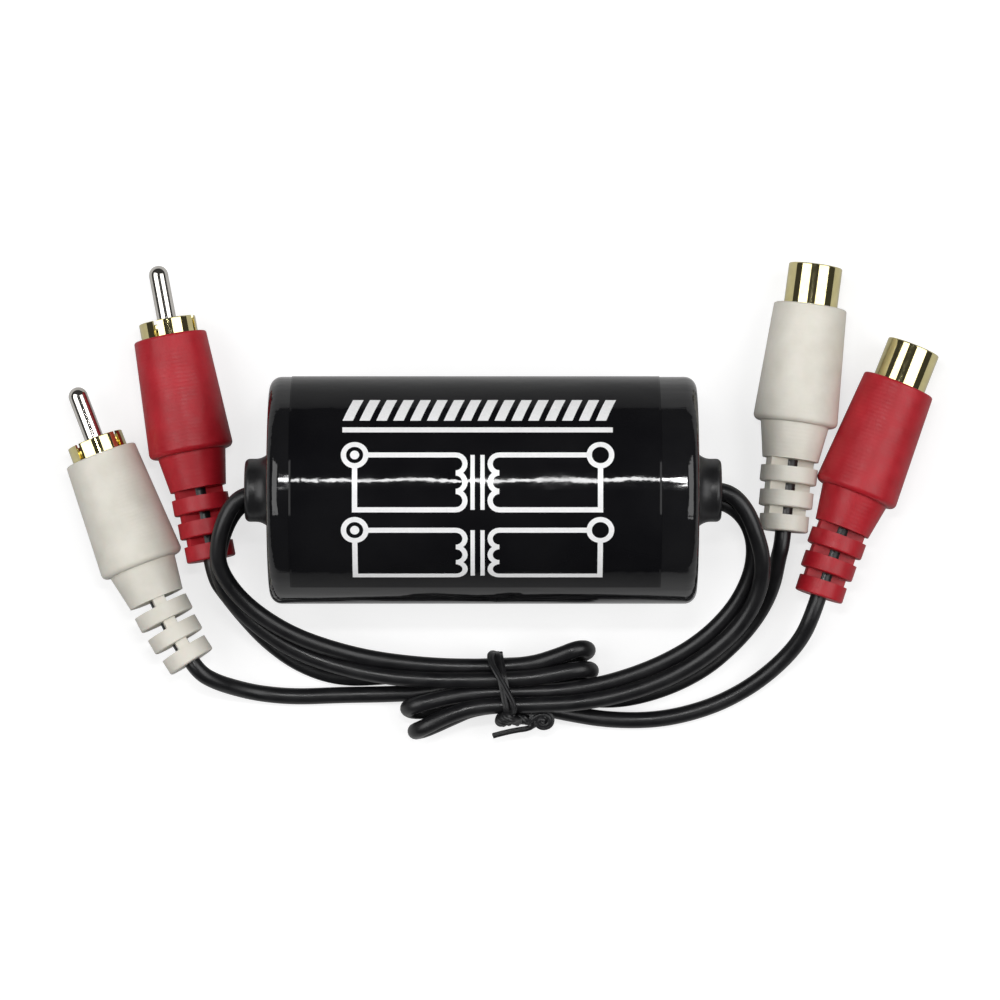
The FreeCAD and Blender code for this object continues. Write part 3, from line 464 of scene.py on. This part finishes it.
def print_material():
    """White ink under the laminate, a little thin in places."""
    material, tree, shader = shader_tree("label_ink")
    point = place_of(tree)
    fine = noise(tree, point, 0.4 * mm, detail=5, roughness=0.7)
    thin = mapped(tree, fine, 0, 1, from_low=0.25, from_high=0.6)
    link_outputs(
        tree,
        shader,
        Base_Color=blended(tree, thin, (0.84, 0.84, 0.85), (0.93, 0.93, 0.93)),
        Roughness=mapped(tree, noise(tree, point, 3 * mm), 0.16, 0.28),
        Normal=label_waves(tree, point, 0.1 * mm),
    )
    return material


def boot_material(name, dark, light, axis):
    """Satin moulded PVC with the fine turned lines of its mould across it."""
    material, tree, shader = plastic(
        name,
        dark=dark,
        light=light,
        rough=(0.36, 0.5),
        grain=0.22 * mm,
        grain_depth=0.006 * mm,
        cloud=3.5 * mm,
    )
    point = place_of(tree)
    wobble = varied(tree, point, 2.5 * mm, 0.9)
    lines = ridges(tree, distance_along(tree, point, axis), boot_line_pitch, wobble)
    strength = mapped(tree, noise(tree, point, 5 * mm, detail=2), 0.25, 1)
    height = math_of(tree, "MULTIPLY", lines, strength)
    soft = uneven(tree, point, 2.2 * mm, 0.05 * mm, after=normal_of(shader))
    link_outputs(tree, shader, Normal=bumped(tree, height, boot_line_depth, after=soft))
    set_values(shader, Subsurface_Weight=0.06, Subsurface_Scale=1 * mm, Specular_IOR_Level=0.38)
    return material


def cord_material():
    """Satin black PVC with a fine grain and dull patches."""
    return plain(
        "cord_pvc",
        dark=(0.006, 0.006, 0.007),
        light=(0.012, 0.012, 0.013),
        rough=(0.28, 0.4),
        grain=0.3 * mm,
        grain_depth=0.01 * mm,
        cloud=5 * mm,
    )


def tie_material():
    """Matt plastic round a wire, with a rough skin."""
    return plain(
        "tie_plastic",
        dark=(0.006, 0.006, 0.007),
        light=(0.014, 0.014, 0.015),
        rough=(0.36, 0.5),
        grain=0.25 * mm,
        grain_depth=0.02 * mm,
        cloud=2 * mm,
    )


def case_material():
    """Satin moulded plastic with a spark-eroded grain."""
    return plain(
        "case_plastic",
        dark=(0.01, 0.01, 0.011),
        light=(0.016, 0.016, 0.017),
        rough=(0.3, 0.42),
        grain=0.25 * mm,
        grain_depth=0.012 * mm,
    )


def board_material():
    """Green solder mask."""
    return plain(
        "board_mask",
        dark=(0.02, 0.12, 0.05),
        light=(0.035, 0.17, 0.075),
        rough=(0.25, 0.4),
        grain=0.3 * mm,
        grain_depth=0.01 * mm,
        cloud=2 * mm,
    )


def nylon_material():
    """Natural nylon of the cable ties."""
    return plain(
        "tie_nylon",
        dark=(0.66, 0.65, 0.6),
        light=(0.78, 0.77, 0.72),
        rough=(0.35, 0.5),
        grain=0.4 * mm,
        grain_depth=0.01 * mm,
        cloud=3 * mm,
    )


def bobbin_material():
    """Black nylon of the bobbins."""
    return plain(
        "bobbin_nylon",
        dark=(0.03, 0.03, 0.032),
        light=(0.05, 0.05, 0.052),
        rough=(0.4, 0.5),
        grain=0.3 * mm,
        grain_depth=0.015 * mm,
        cloud=3 * mm,
    )


def tape_material():
    """Amber tape round the windings."""
    return plain(
        "winding_tape",
        dark=(0.62, 0.45, 0.05),
        light=(0.75, 0.58, 0.1),
        rough=(0.2, 0.35),
        grain=1.5 * mm,
        grain_depth=0.03 * mm,
        cloud=4 * mm,
    )


def solder_material():
    """Solder, bright and slightly grainy."""
    material, _, shader = plastic(
        "solder_metal",
        dark=(0.5, 0.5, 0.52),
        light=(0.66, 0.66, 0.68),
        rough=(0.25, 0.45),
        grain=0.3 * mm,
        grain_depth=0.02 * mm,
        cloud=0.8 * mm,
    )
    set_values(shader, Metallic=1.0)
    return material


def core_material():
    """Steel laminations of the cores, side by side across the housing, with painted shade in the
    groove between each two.
    """
    return striped_with_painted_shade(
        "core_steel",
        dark=(0.16, 0.16, 0.17),
        light=(0.34, 0.34, 0.35),
        rough=(0.35, 0.5),
        axis=(0, 1, 0),
        pitch=0.35 * mm,
        depth=0.03 * mm,
    )


def wire_material():
    """Enamelled copper wire of the windings, laid turn over turn, with painted shade in the groove
    between each two turns.
    """
    return striped_with_painted_shade(
        "winding_wire",
        dark=(0.3, 0.11, 0.04),
        light=(0.72, 0.33, 0.14),
        rough=(0.2, 0.35),
        axis=(0, 0, 1),
        pitch=0.2 * mm,
        depth=0.06 * mm,
    )


def give(name, material):
    """Gives a CAD node its material."""
    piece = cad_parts[name]
    piece.data.materials.clear()
    piece.data.materials.append(material)


def smooth_by_angle(mesh, limit=math.radians(32)):
    """Shades a mesh smooth apart from its sharp edges."""
    mesh.polygons.foreach_set("use_smooth", [True] * len(mesh.polygons))
    mesh.set_sharp_from_angle(angle=limit)


def dress_housing(solder):
    """Materials of the housing and of what is inside it."""
    case = case_material()
    give("case_lower", case)
    give("case_upper", case)
    give("shrink_sleeve", sleeve_material())
    give("face_label", label_material())
    give("circuit_board", board_material())
    give("solder_joints", solder)
    nylon = nylon_material()
    for side in ("input", "output"):
        give(side + "_cable_tie", nylon)
    wire = wire_material()
    looks = {
        "transformer_core": core_material(),
        "transformer_bobbin": bobbin_material(),
        "transformer_pins": metal("tinned_wire", (0.6, 0.6, 0.58), (0.76, 0.76, 0.74), (0.2, 0.35)),
        "primary_winding": wire,
        "secondary_winding": wire,
        "winding_tape": tape_material(),
    }
    for channel in ("white", "red"):
        for piece, look in looks.items():
            give(channel + "_" + piece, look)


def dress_connectors(cord, solder):
    """Materials of the plugs and sockets."""
    shades = {
        "white": ((0.71, 0.68, 0.6), (0.79, 0.76, 0.68)),
        "red": ((0.38, 0.009, 0.017), (0.48, 0.014, 0.025)),
    }
    for name, axis in connector_axes.items():
        dark, light = shades[name.split("_")[0]]
        give(name + "_boot", boot_material(name + "_pvc", dark, light, axis))
        inner = plain(
            name + "_moulding",
            dark=dark,
            light=light,
            rough=(0.4, 0.5),
            grain=0.3 * mm,
            grain_depth=0.01 * mm,
            cloud=2 * mm,
        )
        give(name + "_insulator", inner)
        gold = metal(name + "_gold", (0.74, 0.65, 0.32), (0.86, 0.77, 0.4), (0.03, 0.07))
        nickel = metal(name + "_nickel", (0.68, 0.65, 0.6), (0.8, 0.77, 0.72), (0.03, 0.07))
        is_plug = name.endswith("plug")
        give(name + ("_ring" if is_plug else "_barrel"), gold)
        give(name + ("_pin" if is_plug else "_contact"), nickel)
        give(name + "_joint", solder)
        give(name + "_cord_end", cord)


def in_metres(point):
    """A point in metres from one in millimetres."""
    return Vector(point) * mm


def smooth_curve(name, points, per_run):
    """Curve with these control points in millimetres, drawn in per_run steps for each of them."""
    curve = bpy.data.curves.new(name, "CURVE")
    curve.dimensions = "3D"
    curve.resolution_u = per_run
    spline = curve.splines.new("NURBS")
    spline.points.add(len(points) - 1)
    for target, point in zip(spline.points, points):
        target.co = (*in_metres(point), 1)
    spline.order_u = 3
    spline.use_endpoint_u = True
    return curve


def cord_curve(name, points, material):
    """Round cord on one smooth curve with these control points."""
    curve = smooth_curve(name, points, per_run=10)
    curve.bevel_depth = cord_radius
    curve.bevel_resolution = 7
    curve.use_fill_caps = True
    curve.materials.append(material)
    return new_object(name, curve)


def lay_cords(material):
    """The four free cords, each from its collar to its boot, and the look of their inner ends."""
    for name, points in cord_routes.items():
        piece = cord_curve("free_" + name, points, material)
        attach(piece, "root")
        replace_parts(piece, name)
    for side in ("input", "output"):
        for channel in ("white", "red"):
            give(side + "_lead_" + channel, material)


def finished(name, mesh):
    """Mesh data from a mesh that was being built."""
    made = bpy.data.meshes.new(name)
    mesh.to_mesh(made)
    mesh.free()
    return made


def new_piece(name, mesh, material):
    """A piece of the object from a finished mesh."""
    mesh.materials.append(material)
    made = new_object(name, mesh)
    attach(made, "root")
    return made


def swept(path, outward, outline):
    """Mesh of an outline (sideways, outward) carried along a path, with the way out at each point."""
    mesh = bmesh.new()
    rings = []
    last = len(path) - 1
    for i, point in enumerate(path):
        along = (path[min(i + 1, last)] - path[max(i - 1, 0)]).normalized()
        out = (outward[i] - along * outward[i].dot(along)).normalized()
        side = along.cross(out)
        rings.append([mesh.verts.new(point + side * u + out * v) for u, v in outline])
    for before, after in zip(rings, rings[1:]):
        for k in range(len(outline)):
            following = (k + 1) % len(outline)
            mesh.faces.new((before[k], before[following], after[following], after[k]))
    mesh.faces.new(rings[0][::-1])
    mesh.faces.new(rings[-1])
    bmesh.ops.recalc_face_normals(mesh, faces=mesh.faces)
    return mesh


def tie_outline(wing_steps=3, wire_steps=4, wire_margin=0.17):
    """Section of the tie: a round wire between two wings with rounded edges.

    The wire's arc on each side leaves a margin to the wings, as a share of half a turn.
    """
    points = []
    half = tie_wing_thickness / 2
    for side in (1, -1):
        for i in range(wing_steps + 1):
            angle = math.pi * (i / wing_steps - 0.5)
            reach = tie_wing - half + half * math.cos(angle)
            points.append((side * reach, side * half * math.sin(angle)))
        for i in range(wire_steps + 1):
            angle = math.pi * (wire_margin + (1 - 2 * wire_margin) * i / wire_steps)
            points.append((side * tie_wire * math.cos(angle), side * tie_wire * math.sin(angle)))
    return points


def tie_loop(steps=9):
    """The first turn of the tie: places round the strands and the way out from them."""
    path = []
    outward = []
    count = len(tie_strands)
    for i, (y, z) in enumerate(tie_strands):
        before = tie_strands[i - 1]
        after = tie_strands[(i + 1) % count]
        first = math.atan2(-(y - before[0]), z - before[1])
        second = math.atan2(-(after[0] - y), after[1] - z)
        turn = (second - first + math.pi) % (2 * math.pi) - math.pi
        for k in range(steps):
            angle = first + turn * k / (steps - 1)
            out = Vector((0, math.cos(angle), math.sin(angle)))
            point = Vector((0, y * mm, z * mm)) + out * (cord_radius + tie_lift)
            point.x = tie_middle[0] * mm - math.tan(tie_lean) * (point.y - tie_middle[1] * mm)
            path.append(point)
            outward.append(out)
    return path + path[:1], outward + outward[:1]


def tie_piece(name, path, outward, material):
    """A stretch of the tie along a path, as a piece of its own."""
    mesh = finished(name, swept(path, outward, tie_outline()))
    smooth_by_angle(mesh)
    return new_piece(name, mesh, material)


def guided(points, per_run):
    """Places along a smooth curve with these control points in millimetres."""
    curve = smooth_curve("guide", points, per_run)
    carrier = new_object("guide", curve)
    mesh = bpy.data.meshes.new_from_object(carrier)
    path = [vertex.co.copy() for vertex in mesh.vertices]
    bpy.data.objects.remove(carrier)
    bpy.data.curves.remove(curve)
    bpy.data.meshes.remove(mesh)
    return path


def carried(out, path, i, step):
    """The way out at a place on a path, turned as little as possible from the place before it."""
    last = len(path) - 1
    ahead = (path[min(max(i + step, 0), last)] - path[i - step]).normalized()
    return (out - ahead * out.dot(ahead)).normalized()


def knot_points(phase):
    """Control points in millimetres of one half of the tie where it winds along the knot."""
    axis = guided(tie_knot, tie_knot_steps)
    last = len(axis) - 1
    out = Vector(tie_knot_face)
    points = []
    for k in range(tie_knot_steps + 1):
        share = k / tie_knot_steps
        i = round(share * last)
        ahead = (axis[min(i + 2, last)] - axis[max(i - 2, 0)]).normalized()
        out = (out - ahead * out.dot(ahead)).normalized()
        angle = phase + 2 * math.pi * tie_knot_turns * share
        away = out * math.cos(angle) + ahead.cross(out) * math.sin(angle)
        points.append(tuple(axis[i] / mm + away * tie_knot_radius))
    return points, axis


def nearest(path, place):
    """The point of a path that lies nearest to a place."""
    return min(path, key=lambda point: (point - place).length)


def tie_half(name, half, material, per_run=6):
    """Half of the second turn, from the back of the strands through the knot to its end."""
    knot, axis = knot_points(half["phase"])
    path = guided(half["lead"] + tuple(knot) + half["rest"], per_run)
    first = len(half["lead"]) * per_run
    last = (len(half["lead"]) + len(knot) - 1) * per_run
    outward = [None] * len(path)
    for i in range(first, last + 1):
        outward[i] = (path[i] - nearest(axis, path[i])).normalized()
    for i in range(first - 1, -1, -1):
        outward[i] = carried(outward[i + 1], path, i, -1)
    turning = 2 * per_run
    for i in range(last + 1, len(path)):
        share = min(1, (i - last) / turning)
        outward[i] = carried(outward[i - 1].lerp(Vector(half["face"]), share), path, i, 1)
    return tie_piece("tie_" + name, path, outward, material)


def make_tie(material):
    """The whole twist tie in place of its plain solid."""
    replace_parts(tie_piece("tie_first_turn", *tie_loop(), material), "twist_tie")
    for name, half in tie_halves.items():
        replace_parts(tie_half(name, half, material), "twist_tie")


def on_label(x, s, lift):
    """Place on the label from a place on the unrolled label, in metres."""
    reach = label_radius + lift
    angle = s / label_radius
    return Vector((x, reach * math.sin(angle), housing_axis + reach * math.cos(angle)))


def ink(mesh, corners):
    """One patch of ink from four corners (x, s), in rows where it bends round the label."""
    first_left, first_right, last_right, last_left = corners
    span = max(abs(last_left[1] - first_left[1]), abs(last_right[1] - first_right[1])) * mm
    rows = max(1, math.ceil(span / print_step))
    before = None
    for i in range(rows + 1):
        share = i / rows
        row = []
        for start, end in ((first_left, last_left), (first_right, last_right)):
            x, s = (start[k] * (1 - share) + end[k] * share for k in range(2))
            for lift in (-print_lift, print_lift):
                row.append(mesh.verts.new(on_label(x * mm, s * mm, lift)))
        if before:
            b0, t0, b1, t1 = before
            c0, u0, c1, u1 = row
            mesh.faces.new((t0, t1, u1, u0))
            mesh.faces.new((b0, c0, c1, b1))
            mesh.faces.new((b0, t0, u0, c0))
            mesh.faces.new((t1, b1, c1, u1))
        else:
            mesh.faces.new((row[0], row[2], row[3], row[1]))
        before = row
    mesh.faces.new((before[0], before[1], before[3], before[2]))


def ink_line(mesh, points, width):
    """A printed line through points (x, s), with mitred corners."""
    half = width / 2
    last = len(points) - 1
    edges = []
    for i, (x, s) in enumerate(points):
        back = Vector(points[max(i - 1, 0)])
        on = Vector(points[min(i + 1, last)])
        here = Vector((x, s))
        first = (here - back).normalized() if i else (on - here).normalized()
        second = (on - here).normalized() if i < last else first
        across = Vector((-first.y - second.y, first.x + second.x)).normalized()
        stretch = half / max(0.3, across.dot(Vector((-second.y, second.x))))
        edges.append((here - across * stretch, here + across * stretch))
    for (a, b), (c, d) in zip(edges, edges[1:]):
        runs_along = abs(d.y - a.y) < abs(c.x - a.x) + 1
        ink(mesh, (a, c, d, b) if runs_along else (a, b, d, c))


def ink_arc(mesh, centre, radius, width, first, last, steps=14):
    """A printed arc round a centre (x, s), between two angles in degrees."""
    edges = []
    for i in range(steps + 1):
        angle = math.radians(first + (last - first) * i / steps)
        x = centre[0] + radius * math.cos(angle)
        s = centre[1] + radius * math.sin(angle)
        out = Vector((x - centre[0], s - centre[1])).normalized()
        edges.append((Vector((x, s)) - out * width / 2, Vector((x, s)) + out * width / 2))
    for (inner, outer), (next_inner, next_outer) in zip(edges, edges[1:]):
        ink(mesh, (inner, outer, next_outer, next_inner))


def ink_disc(mesh, centre, radius):
    """A printed dot, as a ring so wide that its middle is closed."""
    ink_arc(mesh, centre, radius / 2, radius, 0, 360, steps=20)


def winding_symbol(mesh, x, s, side):
    """Three half turns one over the other, open to one side."""
    first = -90 if side > 0 else 90
    for i in (-1, 0, 1):
        centre = (x, s + i * winding_pitch)
        ink_arc(mesh, centre, winding_pitch / 2, stroke, first, first + 180, steps=10)


def channel_diagram(mesh, s):
    """One channel: a plug, a winding, the core, a winding and a socket, joined by lines."""
    top = s + diagram_reach
    bottom = s - diagram_reach
    for side in (-1, 1):
        core = print_centre + side * core_reach
        near = print_centre + side * winding_reach
        far = print_centre + side * connector_reach
        winding_symbol(mesh, near, s, -side)
        ink_line(mesh, [(near, top), (far - side * connector_mark_radius, top)], stroke)
        ink_line(mesh, [(near, bottom), (far, bottom), (far, top - connector_mark_radius)], stroke)
        ink_arc(mesh, (far, top), connector_mark_radius, stroke, 0, 360, steps=28)
        ink_line(mesh, [(core, bottom), (core, top)], core_stroke)
    ink_disc(mesh, (print_centre - connector_reach, top), plug_dot_radius)


def print_heading(mesh):
    """A bold band of slanted bars over a line of the same length."""
    pitch = bars_length / bars_count
    low = bars_middle - bars_height / 2
    high = bars_middle + bars_height / 2
    for i in range(bars_count):
        left = print_centre - bars_length / 2 + i * pitch
        right = left + pitch * bar_share
        ink(mesh, ((left, low), (right, low), (right + bar_slant, high), (left + bar_slant, high)))
    ends = [(print_centre + side * bars_length / 2, heading_line) for side in (-1, 1)]
    ink_line(mesh, ends, heading_line_width)


def print_label(material):
    """Generic white print: a heading of slanted bars over the circuit of both channels."""
    mesh = bmesh.new()
    print_heading(mesh)
    for middle in channel_middles:
        channel_diagram(mesh, middle)
    bmesh.ops.recalc_face_normals(mesh, faces=mesh.faces)
    new_piece("label_print", finished("label_print", mesh), material)


def make_floor():
    """Pale floor that shows white and keeps the object's shadow."""
    bpy.ops.mesh.primitive_plane_add(size=floor_size, location=(0, 0, 0))
    floor = bpy.context.object
    floor.name = "floor"
    material, tree, shader = shader_tree("floor_paper")
    grain = noise(tree, place_of(tree), 2 * mm, detail=4)
    path = node(tree, "ShaderNodeLightPath")
    seen = math_of(tree, "MULTIPLY", path.outputs["Is Camera Ray"], floor_glow_seen)
    mirrored = math_of(tree, "MULTIPLY", path.outputs["Is Glossy Ray"], floor_glow_mirrored)
    link_outputs(
        tree,
        shader,
        Base_Color=blended(tree, grain, *floor_shades),
        Emission_Strength=math_of(tree, "ADD", seen, mirrored),
    )
    set_values(shader, Roughness=0.9, Specular_IOR_Level=0.1, Emission_Color=(1, 1, 1, 1))
    floor.data.materials.append(material)


def light(name, place, target, size, power):
    """Rectangular lamp facing a target."""
    data = bpy.data.lights.new(name, "AREA")
    data.shape = "RECTANGLE"
    data.size, data.size_y = size
    data.energy = power
    made = new_object(name, data)
    made.location = place
    made.rotation_euler = (Vector(target) - Vector(place)).to_track_quat("-Z", "Y").to_euler()


def make_room():
    """A room that looks white and casts little light."""
    world = bpy.data.worlds.new("room")
    bpy.context.scene.world = world
    world.use_nodes = True
    tree = world.node_tree
    back = tree.nodes["Background"]
    path = node(tree, "ShaderNodeLightPath")
    seen = path.outputs["Is Camera Ray"]
    glow = mapped(tree, seen, room_glow_cast, room_glow_seen, from_low=0, from_high=1)
    set_values(back, Color=(1, 1, 1, 1))
    link_outputs(tree, back, Strength=glow)


def make_lights():
    """Two soft boxes left and right of the camera, and a narrow lamp beside it."""
    x, y, z = box_place
    for name, side in (("box_left", -1), ("box_right", 1)):
        light(name, (side * x, y, z), (0, 0, 0), box_size, box_power)
    light("narrow_lamp", narrow_lamp_place, narrow_lamp_target, narrow_lamp_size, narrow_lamp_power)


def make_camera():
    """Camera that looks straight down."""
    data = bpy.data.cameras.new("camera")
    data.lens = camera_lens
    data.clip_start = 0.01
    made = new_object("camera", data)
    made.location = camera_place
    bpy.context.scene.camera = made


make_camera()
cord_look = cord_material()
solder_look = solder_material()
lay_cords(cord_look)
dress_housing(solder_look)
dress_connectors(cord_look, solder_look)
print_label(print_material())
make_tie(tie_material())
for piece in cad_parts.values():
    smooth_by_angle(piece.data)
make_floor()
make_lights()
make_room()
bpy.context.scene.view_settings.view_transform = "Standard"
